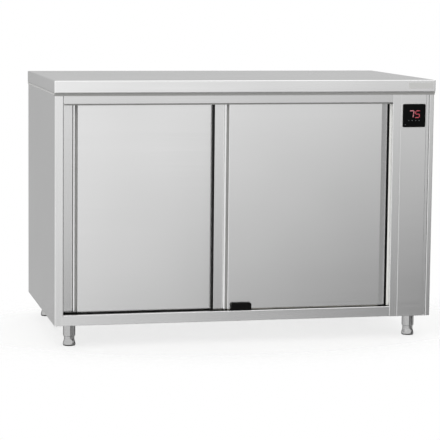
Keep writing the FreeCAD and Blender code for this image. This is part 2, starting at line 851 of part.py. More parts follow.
def fan_frame():
    # Square housing with a round bore, struts on the far side and the bearing boss they carry
    x0 = divider_x + sheet
    x1 = x0 + fan_depth
    y, z, h = fan_centre_y, fan_centre_height, fan_side / 2
    frame = box(x0, x1, y - h, y + h, z - h, z + h)
    frame = frame.cut(rod(fan_bore_radius, V(x0 - overrun, y, z), V(x1 + overrun, y, z)))
    frame = frame.fuse(rod(fan_boss_radius, V(x1 - fan_boss_depth, y, z), V(x1, y, z)))
    for k in range(fan_strut_count):
        strut = box(x1 - fan_strut_depth, x1, y, y + fan_bore_radius + fan_strut_sink,
                    z - fan_strut_width / 2, z + fan_strut_width / 2)
        strut.rotate(V(0, y, z), V(1, 0, 0), fan_strut_turn + k * 360 / fan_strut_count)
        frame = frame.fuse(strut)
    bore = rod(rotor_shaft_radius + run_gap, V(x1 - fan_boss_depth - overrun, y, z), V(x1 + overrun, y, z))
    return solid_of(frame.cut(bore))


def blade_section(radius, chord, x):
    # Thin slanted outline at one radius, seen along the blade
    angle = math.radians(blade_pitch)
    along = V(math.cos(angle), math.sin(angle), 0) * (chord / 2)
    across = V(-math.sin(angle), math.cos(angle), 0) * (blade_thickness / 2)
    corners = [-along - across, along - across, along + across, -along + across]
    points = [V(x + c.x, fan_centre_y + c.y, fan_centre_height + radius) for c in corners]
    return Part.makePolygon(points + points[:1])


def fan_rotor():
    # Hub with pitched, widening blades; its shaft runs in the boss of the frame
    x1 = divider_x + sheet + fan_depth - fan_boss_depth - rotor_hub_gap
    x0 = x1 - rotor_hub_depth
    y, z = fan_centre_y, fan_centre_height
    rotor = rod(rotor_hub_radius, V(x0, y, z), V(x1, y, z))
    rotor = rotor.fuse(rod(rotor_shaft_radius, V(x1 - blade_sink, y, z), V(x1 + rotor_shaft_length, y, z)))
    tip = fan_bore_radius - rotor_tip_gap
    middle = (x0 + x1) / 2
    root = blade_section(rotor_hub_radius - blade_sink, blade_root_chord, middle)
    blade = Part.makeLoft([root, blade_section(tip, blade_tip_chord, middle)], True, True)
    blade = blade.common(rod(tip, V(x0 - fan_depth, y, z), V(x1 + fan_depth, y, z)))
    for k in range(blade_count):
        copy = blade.copy()
        copy.rotate(V(0, y, z), V(1, 0, 0), k * 360 / blade_count)
        rotor = rotor.fuse(copy)
    return solid_of(rotor)


def display_plate(inset, y0, y1, corner):
    u, v = display_width / 2 - inset, display_height / 2 - inset
    points = [(display_x - u, display_z - v), (display_x + u, display_z - v)]
    points += [(display_x + u, display_z + v), (display_x - u, display_z + v)]
    return prism("front", points, y0, y1, [corner] * 4)


def controller_bezel():
    # Flat frame on the fascia that holds the glass
    front = body_front - bezel_thickness
    frame = display_plate(0, front, body_front, display_corner)
    return frame.cut(display_plate(bezel_border, front - overrun, body_front + overrun, 0))


def display_glass():
    front = body_front - bezel_thickness + glass_inset
    return display_plate(bezel_border + run_gap, front, body_front, 0)


def controller_case():
    # Open-fronted case behind the fascia
    case = display_plate(bezel_lap, body_front, body_front + case_depth, 0)
    return case.cut(display_plate(bezel_lap + case_wall, body_front - overrun,
                                  body_front + case_depth - case_wall, 0))


def controller_board():
    y0 = body_front + board_setback
    return display_plate(bezel_lap + case_wall + run_gap, y0, y0 + board_thickness, 0)


def electrics_plate():
    # Upright plate across the column, flanged to the divider and the side panel
    x0, x1 = divider_x + sheet, inside_right
    back = mounting_plate_y + mounting_plate_flange
    path = [(x0, back), (x0, mounting_plate_y), (x1, mounting_plate_y), (x1, back)]
    return folded("plan", path, mounting_plate_bottom, mounting_plate_top, radius=0)


def terminal_block():
    # Row of ways on the mounting plate, each with its wire funnel
    y1 = mounting_plate_y
    y0 = y1 - terminal_depth
    half = terminal_length / 2
    z0, z1 = terminal_centre_height - terminal_height / 2, terminal_centre_height + terminal_height / 2
    block = box(column_middle - half, column_middle + half, y0, y1, z0, z1)
    pitch = terminal_length / terminal_ways
    for i in range(terminal_ways):
        x = column_middle - half + (i + 1 / 2) * pitch
        block = block.cut(box(x - terminal_slot / 2, x + terminal_slot / 2, y0 - overrun, y0 + terminal_slot,
                              z0 - overrun, z1 + overrun))
    return solid_of(block)


def safety_thermostat():
    # Capsule on a strap, its reset cap in front
    z, y1 = thermostat_centre_height, mounting_plate_y
    x = column_middle
    base = box(x - thermostat_base_length / 2, x + thermostat_base_length / 2, y1 - thermostat_base, y1,
               z - thermostat_radius, z + thermostat_radius)
    body_end = y1 - thermostat_depth
    body = rod(thermostat_radius, V(x, y1 - thermostat_base / 2, z), V(x, body_end, z))
    cap = rod(thermostat_cap_radius, V(x, body_end + thermostat_base / 2, z),
              V(x, body_end - thermostat_cap, z))
    return solid_of(base.fuse(body).fuse(cap))


def cable_gland():
    # Screwed gland in the rear panel with its lock nut; the cable hole is open
    x, z = column_middle, gland_height
    cap_start = rear_face + gland_body_length
    cap_end = cap_start + gland_cap_length
    gland = rod(gland_thread_radius, V(x, rear_inside - gland_nut, z), V(x, cap_end, z))
    gland = gland.fuse(hexagon("front", x, z, gland_across, rear_face, cap_start))
    gland = gland.fuse(hexagon("front", x, z, gland_across, rear_inside - gland_nut, rear_inside))
    bore = rod(gland_bore_radius, V(x, rear_inside - gland_nut - overrun, z), V(x, cap_end + overrun, z))
    return solid_of(gland.cut(bore))


pieces = {
    "worktop": worktop(),
    "worktop_stiffeners": worktop_stiffeners(),
    "left_side_panel": left_side_panel(),
    "right_side_panel": right_side_panel(),
    "rear_panel": rear_panel(),
    "base_pan": base_pan(),
    "top_rail": top_rail(),
    "divider_wall": divider_wall(),
    "control_fascia": control_fascia(),
    "chamber_left_wall": chamber_left_wall(),
    "chamber_rear_wall": chamber_rear_wall(),
    "chamber_ceiling": chamber_ceiling_sheet(),
    "chamber_floor": chamber_floor_sheet(),
    "middle_shelf": middle_shelf(),
    "shelf_uprights": along_walls(upright),
    "shelf_clips": along_walls(clip),
    "door_track": door_track(),
    "door_guide": door_guide(),
    "door_stops": door_stops(),
    "air_grilles": air_grilles(),
    "air_duct": air_duct(),
    "heater_element": heater_element(),
    "temperature_probe": temperature_probe(),
    "fan_frame": fan_frame(),
    "fan_rotor": fan_rotor(),
    "controller_bezel": controller_bezel(),
    "display_glass": display_glass(),
    "controller_case": controller_case(),
    "controller_board": controller_board(),
    "electrics_plate": electrics_plate(),
    "terminal_block": terminal_block(),
    "safety_thermostat": safety_thermostat(),
    "cable_gland": cable_gland(),
    "leg_plates": at_legs(leg_plate),
    "leg_tubes": at_legs(leg_tube),
}
pieces.update(insulation_slabs())
pieces.update({f"{name}_foot": foot(x, y) for name, (x, y) in leg_places.items()})
pieces.update(door_pieces("left", doors_left, rear_door_y))
pieces.update(door_pieces("right", right_door_left, front_door_y))

os.makedirs("parts", exist_ok=True)
for name, shape in pieces.items():
    shape.exportStep(f"parts/{name}.step")
print(f"door travel {door_travel}, axle height {axle_z}, hangers left door {hanger_xs(doors_left)}, "
      f"right door {hanger_xs(right_door_left)}, foot travel {foot_travel}")
print(f"shelf {shelf_bottom} to {shelf_bottom + shelf_height}, chamber X {chamber_left} to {divider_x}, "
      f"Y {door_zone_rear} to {chamber_rear}, Z {chamber_floor} to {chamber_ceiling}")
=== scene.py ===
import json
import math

import bmesh
import bpy
from mathutils import Matrix, Vector


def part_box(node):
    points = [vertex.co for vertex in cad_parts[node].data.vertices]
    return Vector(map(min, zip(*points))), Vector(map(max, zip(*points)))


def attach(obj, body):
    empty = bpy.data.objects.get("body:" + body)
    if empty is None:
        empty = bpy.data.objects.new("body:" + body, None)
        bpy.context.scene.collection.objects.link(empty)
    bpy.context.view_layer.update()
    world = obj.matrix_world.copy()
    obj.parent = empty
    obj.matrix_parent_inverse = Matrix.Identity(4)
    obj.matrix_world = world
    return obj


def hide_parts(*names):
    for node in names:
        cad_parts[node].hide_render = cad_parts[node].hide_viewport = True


# Plate warmer cabinet: a steel cupboard with two sliding doors and a control column at the right.
# Metres, in the solids' frame: X to the right, Y to the back, Z up.

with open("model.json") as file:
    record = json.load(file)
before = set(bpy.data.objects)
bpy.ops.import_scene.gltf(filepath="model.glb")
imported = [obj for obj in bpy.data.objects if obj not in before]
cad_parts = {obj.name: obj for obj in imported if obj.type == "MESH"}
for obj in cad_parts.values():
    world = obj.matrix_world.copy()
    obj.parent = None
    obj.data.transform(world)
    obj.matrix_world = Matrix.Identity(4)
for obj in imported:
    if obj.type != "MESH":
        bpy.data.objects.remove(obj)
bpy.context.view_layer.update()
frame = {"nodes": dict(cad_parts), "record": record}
record = frame["record"]
body_of = {node: body for body, nodes in record["behaviour"]["bodies"].items() for node in nodes}

# Camera, fitted to the photograph's lines; the focal length is in pixels of the photograph's width
image_width = 440
focal_pixels = 1820.59
sensor_width = 36.0
camera_place = Vector((-1.4358, -6.1165, 1.1654))
camera_yaw, camera_pitch, camera_roll = (math.radians(a) for a in (11.973, -6.008, 0.467))
camera_shift = (0.080, -0.090)


def set_camera():
    forward = Vector((math.sin(camera_yaw) * math.cos(camera_pitch),
                      math.cos(camera_yaw) * math.cos(camera_pitch), math.sin(camera_pitch)))
    level = forward.cross(Vector((0, 0, 1))).normalized()
    upright = level.cross(forward)
    right = level * math.cos(camera_roll) + upright * math.sin(camera_roll)
    up = upright * math.cos(camera_roll) - level * math.sin(camera_roll)
    data = bpy.data.cameras.new("camera")
    data.sensor_width = sensor_width
    data.lens = focal_pixels * sensor_width / image_width
    data.shift_x, data.shift_y = camera_shift
    camera = bpy.data.objects.new("camera", data)
    turn = Matrix((right, up, -forward)).transposed().to_4x4()
    camera.matrix_world = Matrix.Translation(camera_place) @ turn
    bpy.context.scene.collection.objects.link(camera)
    bpy.context.scene.camera = camera


set_camera()

# Sheet metal
sheet = 0.0012
door_sheet = 0.001
bend = 0.0026
bend_steps = 6
edge_round = 0.0003
bevel_steps = 2
sharp_angle = math.radians(40)

# Worktop
worktop_sheet = 0.0015
worktop_bend, worktop_corner, worktop_lip = 0.0026, 0.003, 0.015
edge_plate_depth = 0.0004
edge_plate_x = (0.547, 0.632)
edge_plate_z = (0.8415, 0.8615)
edge_plate_corner, edge_plate_edge = 0.0015, 0.0001

# Middle shelf
shelf_bend, shelf_corner, shelf_lip = 0.002, 0.002, 0.012

# Door folds, from the door's left edge
grip_width, grip_recess, grip_falls = 0.0335, 0.0095, {"left": 0.0018, "right": 0.0006}
lip_width, lip_recess, lip_slope = 0.0080, 0.0035, 0.0015
groove_width, groove_depth = 0.0060, 0.014
# Grey strip deep in each door's groove: painted shade
groove_seal_width, groove_seal_depth = 0.0056, 0.007
margin_width, margin_recess = 0.021, 0.0045
door_turn_in = 0.0028
door_lift = {"left": 0.0, "right": 0.0015}
# Corners of the fold line whose inner side faces the front
inner_folds = (2, 5, 6)

# Legs and feet
tube_radius, tube_wall, tube_edge = 0.020, 0.0015, 0.0012
neck_radius, rim_radius, pad_radius = 0.017, 0.0208, 0.0185
rim_bottom, rim_top, neck_bottom = 0.0028, 0.0044, 0.0227
neck_gap, neck_chamfer, spindle_radius = 0.0003, 0.0008, 0.012
foot_steps = 8
glide_radius, glide_edge = 0.0200, 0.0004
turning_steps = 48
# Points of a turned piece that lie on its axis are merged when closer than this
merge_distance = 0.00001

# Bottom door guide
guide_gap, guide_setback = 0.0007, 0.0073
guide_base_drop, guide_fin_rise = 0.006, 0.015
guide_on_rail, guide_web_rise = 0.0348, 0.002
cheek_corner, fin_corner, base_corner, guide_low_corner = 0.007, 0.004, 0.001, 0.0005
guide_edge = 0.0006

# Display
display_corner, frame_inner_corner = 0.005, 0.002
frame_rim, frame_face, frame_inner, frame_inner_edge = 0.0008, 0.0028, 0.003, 0.0002
# How far in the middle of a rounded rim lies, as a share of the rim
rim_middle = 0.3
# Pale ring round the display frame: painted highlight on the frame's outer edge
trim_width, trim_depth = 0.0018, 0.0010
cover_corner, cover_edge = 0.0018, 0.0002
digit_height, digit_width, digit_gap = 0.0225, 0.0150, 0.0065
digit_slant = 0.16
digit_left, digit_bottom = 0.5495, 0.7445
segment_width = 0.0029
# Free length at each end of a bar, as a share of its width
segment_gap = 0.2
# Both ends of each bar, in digit widths and half heights; the bars that are lit show 7 and 5
segment_ends = {"a": ((0, 2), (1, 2)), "b": ((1, 1), (1, 2)), "c": ((1, 0), (1, 1)),
                "d": ((0, 0), (1, 0)), "f": ((0, 1), (0, 2)), "g": ((0, 1), (1, 1))}
lit_segments = ("abc", "acdfg")
mark_size = (0.0036, 0.0016)
# Corner radius of a key mark, as a share of its half height
mark_corner = 0.8
mark_places = ((0.550, 0.7345), (0.562, 0.7345), (0.574, 0.7345), (0.586, 0.7345), (0.538, 0.721))
print_depth = 0.00015

# Weld in the lower left corner of the front
weld_width, weld_height, weld_crown = 0.0085, 0.0285, 0.00006

# Black strip on the sill under the doors, put where shade falls: painted shade
sill_end_gap, sill_edge = 0.001, 0.0005
sill_front, sill_back = 0.0086, -0.2735
sill_low, sill_high = 0.0182, 0.0215

# Door stops; the white strips beside the right stops are a painted highlight
stop_behind, stop_half_depth = 0.010, 0.007
left_stop_width, stop_corner = 0.0027, 0.0012
stop_reach, stop_carrier_width, carrier_corner = 0.0110, 0.0058, 0.0015

# Dark strips put where shade falls, as painted shade: a black lip between the doors, a black strip under each
# door and a grey strip under the top rail
seal_depth, seal_set_back, seal_gap, seal_corner = 0.0026, 0.003, 0.0008, 0.0004
brush_height, brush_width, brush_depth = 0.0045, 0.003, 0.0034
brush_end_gap, brush_edge = 0.003, 0.0004
pile_height, pile_depth = 0.0032, 0.0045
pile_end_gap, pile_overlap = 0.012, 0.004
# Steps of the grey fillet under the worktop, which is painted shade: depth in front of the body, drop under
# the worktop
fillet = ((0.0004, 0.0095), (0.0012, 0.0058), (0.0028, 0.0026), (0.0066, 0.0004))
side_bead = 0.0015

# Track rollers: radius and depth along the dish in each face
roller_bore, roller_chamfer = 0.00255, 0.0006
roller_dish = ((0.0055, 0), (0.006, 0.0008), (0.0072, 0.0008), (0.0076, 0))

# Cable gland: radius and distance from the outer end along the dome cap
gland_bore, gland_reach = 0.0045, 0.015
gland_cap = ((0.0062, 0), (0.0078, 0.0012), (0.008, 0.003), (0.008, gland_reach))
gland_flats, gland_nut, gland_lock_nut = 0.022, 0.006, 0.005
gland_edge = 0.0004

V = Vector


def rounded(points, radii):
    """The line through points, each corner rounded by its own radius"""
    corners = [V(p) for p in points]
    line = []
    for i, corner in enumerate(corners):
        if radii[i] == 0:
            line.append(corner)
            continue
        before = (corners[i - 1] - corner).normalized()
        after = (corners[(i + 1) % len(corners)] - corner).normalized()
        half = before.angle(after) / 2
        middle = corner + (before + after).normalized() * (radii[i] / math.sin(half))
        start = corner + before * (radii[i] / math.tan(half)) - middle
        turn = math.copysign(math.pi - 2 * half, after.cross(before))
        for k in range(bend_steps + 1):
            line.append(middle + Matrix.Rotation(turn * k / bend_steps, 2) @ start)
    return line


def moved(points, distance):
    """An open line moved sideways to its left, with mitred corners"""
    corners = [V(p) for p in points]
    steps = [(b - a).normalized() for a, b in zip(corners, corners[1:])]
    lefts = [V((-d.y, d.x)) for d in steps]
    line = []
    for i, corner in enumerate(corners):
        before, after = lefts[max(i - 1, 0)], lefts[min(i, len(lefts) - 1)]
        line.append(corner + (before + after) * (distance / (1 + before.dot(after))))
    return line


def lifted(plane, line, w):
    """A flat line as points in space; plan: X, Y at height w; side: Y, Z at X = w; front: X, Z at Y = w"""
    order = {"plan": (0, 1, 2), "side": (2, 0, 1), "front": (0, 2, 1)}[plane]
    return [V([(p[0], p[1], w)[k] for k in order]) for p in line]


def surface(rows, ring=True, caps=True, loop=False):
    """Quads between rows of points

    ring joins the ends of each row, caps close the first and the last row, loop joins those two instead
    """
    bm = bmesh.new()
    ranks = [[bm.verts.new(p) for p in row] for row in rows]
    pairs = list(zip(ranks, ranks[1:])) + ([(ranks[-1], ranks[0])] if loop else [])
    count = len(rows[0])
    for low, high in pairs:
        for i in range(count if ring else count - 1):
            j = (i + 1) % count
            bm.faces.new((low[i], low[j], high[j], high[i]))
    if ring and caps and not loop:
        bm.faces.new(ranks[0])
        bm.faces.new(ranks[-1])
    if ring:
        bmesh.ops.recalc_face_normals(bm, faces=bm.faces)
    return bm


def joined(*parts):
    """Several closed shapes in one mesh"""
    whole = bmesh.new()
    for part in parts:
        mesh = bpy.data.meshes.new("part")
        part.to_mesh(mesh)
        part.free()
        whole.from_mesh(mesh)
        bpy.data.meshes.remove(mesh)
    return whole


def prism(plane, points, start, end, radii=None):
    """A closed line, its corners rounded by radii, drawn out from start to end"""
    line = rounded(points, radii or [0] * len(points))
    return surface([lifted(plane, line, w) for w in (start, end)])


def rectangle(x0, x1, y0, y1):
    return [(x0, y0), (x1, y0), (x1, y1), (x0, y1)]


def block(lo, hi):
    return prism("plan", rectangle(lo[0], hi[0], lo[1], hi[1]), lo[2], hi[2])


def on_circle(centre, radius, angles):
    return [(centre[0] + radius * math.cos(a), centre[1] + radius * math.sin(a)) for a in angles]


def turned(profile, centre, plane="plan"):
    """Rows of a turned piece, whose circles lie in plane; profile holds radius and place along the axis"""
    angles = [2 * math.pi * k / turning_steps for k in range(turning_steps)]
    return [lifted(plane, on_circle(centre, radius, angles), along) for radius, along in profile]


def arc(middle, radius, start, end):
    """Points of an arc between two angles in degrees"""
    angles = [math.radians(start + (end - start) * k / bend_steps) for k in range(bend_steps + 1)]
    return on_circle(middle, radius, angles)


def middle_of(lo, hi):
    """A box's middle seen from the front"""
    return (lo.x + hi.x) / 2, (lo.z + hi.z) / 2


def piece(name, bm, node, material, replaces=True, bevel=0, thickness=0):
    """A finished piece that rides with the solid it belongs to, and stands for it unless told otherwise"""
    mesh = bpy.data.meshes.new(name)
    bm.to_mesh(mesh)
    bm.free()
    mesh.shade_smooth()
    mesh.materials.append(material)
    obj = bpy.data.objects.new(name, mesh)
    bpy.context.scene.collection.objects.link(obj)
    if thickness:
        shell = obj.modifiers.new("thickness", "SOLIDIFY")
        shell.thickness, shell.offset, shell.use_even_offset = thickness, -1, True
    if bevel:
        edge = obj.modifiers.new("edges", "BEVEL")
        edge.width, edge.segments, edge.limit_method = bevel, bevel_steps, "ANGLE"
        edge.angle_limit, edge.harden_normals = sharp_angle, True
    else:
        mesh.set_sharp_from_angle(angle=sharp_angle)
        weighted = obj.modifiers.new("normals", "WEIGHTED_NORMAL")
        weighted.keep_sharp = True
    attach(obj, body_of[node])
    if replaces:
        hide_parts(node)


# Finishes

# Sockets of a mix node in its colour mode
mix_share, mix_first, mix_second, mix_result = 0, 6, 7, 2
# How much longer than wide the streaks of brushed sheet are
grain_length = 130


def linear(code):
    """An sRGB hex colour as linear red, green, blue and alpha"""
    parts = [int(code[i:i + 2], 16) / 255 for i in (0, 2, 4)]
    return [c / 12.92 if c <= 0.04045 else ((c + 0.055) / 1.055) ** 2.4 for c in parts] + [1.0]


def add(tree, kind, settings=None, links=None):
    """One shader node, with its settings and what is linked to its sockets"""
    node = tree.nodes.new(kind)
    for name, value in (settings or {}).items():
        if isinstance(name, int) or name in node.inputs:
            node.inputs[name].default_value = value
        else:
            setattr(node, name, value)
    for name, source in (links or {}).items():
        tree.links.new(source, node.inputs[name])
    return node


def finish(name, colour, roughness, **more):
    """A material with its main shader; what is the same all over is set on the shader itself"""
    material = bpy.data.materials.new(name)
    material.use_nodes = True
    tree = material.node_tree
    shader = tree.nodes["Principled BSDF"]
    shader.inputs["Base Color"].default_value = linear(colour)
    shader.inputs["Roughness"].default_value = roughness
    for socket, value in more.items():
        shader.inputs[socket.replace("_", " ")].default_value = value
    return material, tree, shader


def pattern(tree, size, detail=2.0, stretch=(1, 1, 1)):
    """Noise whose features are size metres across, stretched along the object's axes"""
    place = add(tree, "ShaderNodeTexCoord")
    scale = [1 / (size * s) for s in stretch]
    mapping = add(tree, "ShaderNodeMapping", {"Scale": scale}, {"Vector": place.outputs["Object"]})
    noise = add(tree, "ShaderNodeTexNoise", {"Scale": 1.0, "Detail": detail, "Roughness": 0.5},
                {"Vector": mapping.outputs["Vector"]})
    return noise.outputs["Fac"]


def spread(tree, source, low, high):
    """The pattern's middle range, where nearly all of a noise lies, carried to low and high"""
    limits = {"From Min": 0.3, "From Max": 0.7, "To Min": low, "To Max": high}
    return add(tree, "ShaderNodeMapRange", limits, {"Value": source}).outputs["Result"]


def tones(tree, source, dark, light):
    """A colour between two tones, by the pattern"""
    share = spread(tree, source, 0.0, 1.0)
    return mixed(tree, share, linear(dark), linear(light))


def mixed(tree, share, first, second):
    """A colour mix; each side is a colour or a socket that gives one"""
    settings, links = {"data_type": "RGBA"}, {mix_share: share}
    for socket, side in ((mix_first, first), (mix_second, second)):
        (settings if isinstance(side, list) else links)[socket] = side
    return add(tree, "ShaderNodeMix", settings, links).outputs[mix_result]


def relief(tree, shader, source, height):
    """A bump of a real height"""
    bump = add(tree, "ShaderNodeBump", {"Strength": 1.0, "Distance": height}, {"Height": source})
    tree.links.new(bump.outputs["Normal"], shader.inputs["Normal"])


def brushed_stainless(name, stretch, dark="E7E7E7", light="EBEBEB", rim="FFFFFF"):
    # Chrome-nickel steel ground with a fine belt: satin sheen with soft mirror images, long streaks along
    # the grain. The real grain is about 0.1 mm wide; it is drawn 3 mm wide so that it shows. The rim tone is
    # the colour that the sheet takes when seen at a low angle.
    material, tree, shader = finish(name, light, 0.22, Metallic=1.0, Specular_Tint=linear(rim))
    grain = pattern(tree, 0.003, 2.0, stretch)
    sheen = pattern(tree, 0.35, 1.0)
    tree.links.new(tones(tree, sheen, dark, light), shader.inputs["Base Color"])
    tree.links.new(spread(tree, grain, 0.205, 0.24), shader.inputs["Roughness"])
    relief(tree, shader, grain, 0.000004)
    return material


def mill_finish_stainless():
    # Cold-rolled and pickled sheet of the inner lining: duller, greyer, no grain, slight clouds of 60 mm
    material, tree, shader = finish("mill_finish_stainless", "B9B9B6", 0.36, Metallic=1.0)
    clouds = pattern(tree, 0.06, 3.0)
    tree.links.new(tones(tree, clouds, "B2B2AF", "C0C0BD"), shader.inputs["Base Color"])
    tree.links.new(spread(tree, clouds, 0.32, 0.42), shader.inputs["Roughness"])
    return material


def galvanised_steel():
    # Hot-dip zinc on steel: flat crystals of 8 mm, each with its own grey
    material, tree, shader = finish("galvanised_steel", "A9ADAF", 0.45, Metallic=1.0)
    place = add(tree, "ShaderNodeTexCoord")
    crystals = add(tree, "ShaderNodeTexVoronoi", {"Scale": 1 / 0.008}, {"Vector": place.outputs["Object"]})
    share = add(tree, "ShaderNodeSeparateColor", links={"Color": crystals.outputs["Color"]})
    tree.links.new(tones(tree, share.outputs["Red"], "9A9EA1", "B9BDBF"), shader.inputs["Base Color"])
    tree.links.new(spread(tree, share.outputs["Green"], 0.38, 0.52), shader.inputs["Roughness"])
    return material


def zinc_plated_steel():
    # Bright electroplated zinc on small hardware: slightly blue, plating clouds of 12 mm
    material, tree, shader = finish("zinc_plated_steel", "B4B9BE", 0.33, Metallic=1.0)
    clouds = pattern(tree, 0.012, 2.0)
    tree.links.new(tones(tree, clouds, "ADB2B6", "BEC3C9"), shader.inputs["Base Color"])
    tree.links.new(spread(tree, clouds, 0.28, 0.40), shader.inputs["Roughness"])
    return material


def polished_stainless():
    # Turned and polished stainless tube: clear reflections, faint rings 2 mm apart from the polishing.
    # The black tint dims the reflection just before the rim, which gives the tube its dark outline.
    material, tree, shader = finish("polished_stainless", "B6B6B6", 0.09, Metallic=1.0,
                                    Specular_Tint=linear("000000"))
    rings = pattern(tree, 0.002, 1.0, (100, 100, 1))
    tree.links.new(spread(tree, rings, 0.07, 0.13), shader.inputs["Roughness"])
    return material


def anodised_aluminium(name, colour):
    # Extruded and satin anodised: pale, even, with faint die lines 2 mm wide along the length
    material, tree, shader = finish(name, colour, 0.40, Metallic=1.0)
    lines = pattern(tree, 0.002, 2.0, (400, 1, 1))
    tree.links.new(spread(tree, lines, 0.36, 0.46), shader.inputs["Roughness"])
    relief(tree, shader, lines, 0.00001)
    return material


def heat_tinted_steel():
    # Steel that has run hot: straw to brown oxide tints in patches of 15 mm
    material, tree, shader = finish("heat_tinted_steel", "7A6A58", 0.42, Metallic=1.0)
    patches = pattern(tree, 0.015, 3.0)
    tree.links.new(tones(tree, patches, "5E5652", "8F7C62"), shader.inputs["Base Color"])
    return material


def moulded_plastic(name, dark, light, roughness, specular=0.5):
    # Moulded or extruded polymer: even colour, dull sheen, a fine texture as spark-eroded moulds leave it.
    # The real texture is about 0.3 mm across; it is drawn 1.5 mm across so that it shows.
    material, tree, shader = finish(name, light, roughness, IOR=1.53, Specular_IOR_Level=specular)
    texture = pattern(tree, 0.0015, 3.0)
    tree.links.new(tones(tree, texture, dark, light), shader.inputs["Base Color"])
    tree.links.new(spread(tree, texture, roughness - 0.06, roughness + 0.06), shader.inputs["Roughness"])
    relief(tree, shader, texture, 0.00004)
    return material


def epdm_rubber():
    # Extruded synthetic rubber: matt black with a faint grey bloom in patches of 20 mm
    material, tree, shader = finish("epdm_rubber", "0A0A0A", 0.8, IOR=1.52, Specular_IOR_Level=0.15)
    bloom = pattern(tree, 0.02, 3.0)
    tree.links.new(tones(tree, bloom, "070707", "0E0E0D"), shader.inputs["Base Color"])
    return material


def mineral_wool():
    # Pressed mineral fibre: soft ochre, strands 2 mm wide and 15 mm long
    material, tree, shader = finish("mineral_wool", "B3A678", 0.95)
    strands = pattern(tree, 0.002, 4.0, (8, 1, 1))
    tree.links.new(tones(tree, strands, "9C8F63", "C4B88B"), shader.inputs["Base Color"])
    relief(tree, shader, strands, 0.0008)
    return material


def dark_display_glass():
    # Smooth black-backed cover glass: nearly black, sharp reflections, faint smears from wiping
    material, tree, shader = finish("dark_display_glass", "020303", 0.06, IOR=1.52, Specular_IOR_Level=0.08)
    smears = pattern(tree, 0.02, 2.0, (1, 1, 3))
    tree.links.new(spread(tree, smears, 0.04, 0.10), shader.inputs["Roughness"])
    tree.links.new(tones(tree, smears, "010202", "040505"), shader.inputs["Base Color"])
    return material


def lit_figures(name, dark, light):
    # Light-emitting bars behind a red filter: glowing red, paler and darker in patches of 6 mm
    material, tree, shader = finish(name, dark, 0.4)
    glow = pattern(tree, 0.006, 1.0)
    tree.links.new(tones(tree, glow, dark, light), shader.inputs["Emission Color"])
    shader.inputs["Emission Strength"].default_value = 0.58
    return material


def printed_legend():
    # Screen-printed grey key marks, uneven in their ink at a scale of 1 mm
    material, tree, shader = finish("printed_legend", "6A6E6E", 0.5)
    ink = pattern(tree, 0.001, 2.0)
    tree.links.new(tones(tree, ink, "5E6262", "787C7C"), shader.inputs["Base Color"])
    return material


def circuit_laminate():
    # Green lacquered glass-epoxy board: brighter copper fields of 8 by 4 mm under the lacquer, darker lines
    # between them
    material, tree, shader = finish("circuit_laminate", "1E6B38", 0.35, IOR=1.55)
    place = add(tree, "ShaderNodeTexCoord")
    tracks = add(tree, "ShaderNodeTexBrick",
                 {"Scale": 60.0, "Color1": linear("1B6634"), "Color2": linear("227841"),
                  "Mortar": linear("124524"), "Mortar Size": 0.03}, {"Vector": place.outputs["Object"]})
    tree.links.new(tracks.outputs["Color"], shader.inputs["Base Color"])
    return material


grain_across, grain_upright = (grain_length, 1, 1), (1, 1, grain_length)
steel_across = brushed_stainless("brushed_stainless_across", grain_across)
# A lighter copy of the brushed steel: painted light on the worktop's front edge; its darker rim tone is
# painted shade on the top, seen at a low angle
worktop_steel = brushed_stainless("brushed_stainless_worktop_painted_light", grain_across, "EAEAEA", "F0F0F0", "B0B0B0")
# A darker copy of the brushed steel for the top rail: painted shade under the worktop's edge
header_steel = brushed_stainless("brushed_stainless_header_painted_shade", grain_across, "D9D9D9", "DDDDDD")
steel_upright = brushed_stainless("brushed_stainless_upright", grain_upright)
# A slightly darker copy of the brushed steel with a darker rim tone, for the side and rear panels: painted
# shade on the sides, seen at a low angle
panel_steel = brushed_stainless("brushed_stainless_panel_painted_shade", grain_upright, "E4E4E4", "E8E8E8", "B3B3B3")
lining = mill_finish_stainless()
zinc_sheet = galvanised_steel()
zinc_hardware = zinc_plated_steel()
polished = polished_stainless()
track_metal = anodised_aluminium("anodised_aluminium_track", "BCBDBF")
plate_metal = anodised_aluminium("anodised_aluminium_plate", "E4E4E2")
heater_steel = heat_tinted_steel()
black_nylon = moulded_plastic("moulded_black_nylon", "050505", "0A0A0A", 0.52, specular=0.09)
bezel_plastic = moulded_plastic("moulded_black_abs", "020202", "060606", 0.35, specular=0.12)
white_nylon = moulded_plastic("moulded_white_nylon", "E8E8E4", "F2F2EF", 0.42)
terminal_nylon = moulded_plastic("moulded_grey_nylon", "C2C3C0", "CFD0CD", 0.45)
# Also on the black strips on the sill, between the doors and under them, which are painted shade
rubber = epdm_rubber()
# Grey fillet under the worktop and grey strips in the door grooves: painted shade
grey_sealant = moulded_plastic("grey_painted_shade_fill", "9A9A98", "ACACAA", 0.45)
# Grey strip under the top rail: painted shade
grey_pile = moulded_plastic("grey_header_shade_strip", "7C7C7A", "8E8E8C", 0.9, specular=0.1)
wool = mineral_wool()
glass = dark_display_glass()
# The first figure's paler red is painted glare
figures = (lit_figures("lit_figure_red_painted_glare", "A8626A", "D0A0A6"),
           lit_figures("lit_figure_red", "8E2A36", "B85A66"))
legend = printed_legend()
laminate = circuit_laminate()

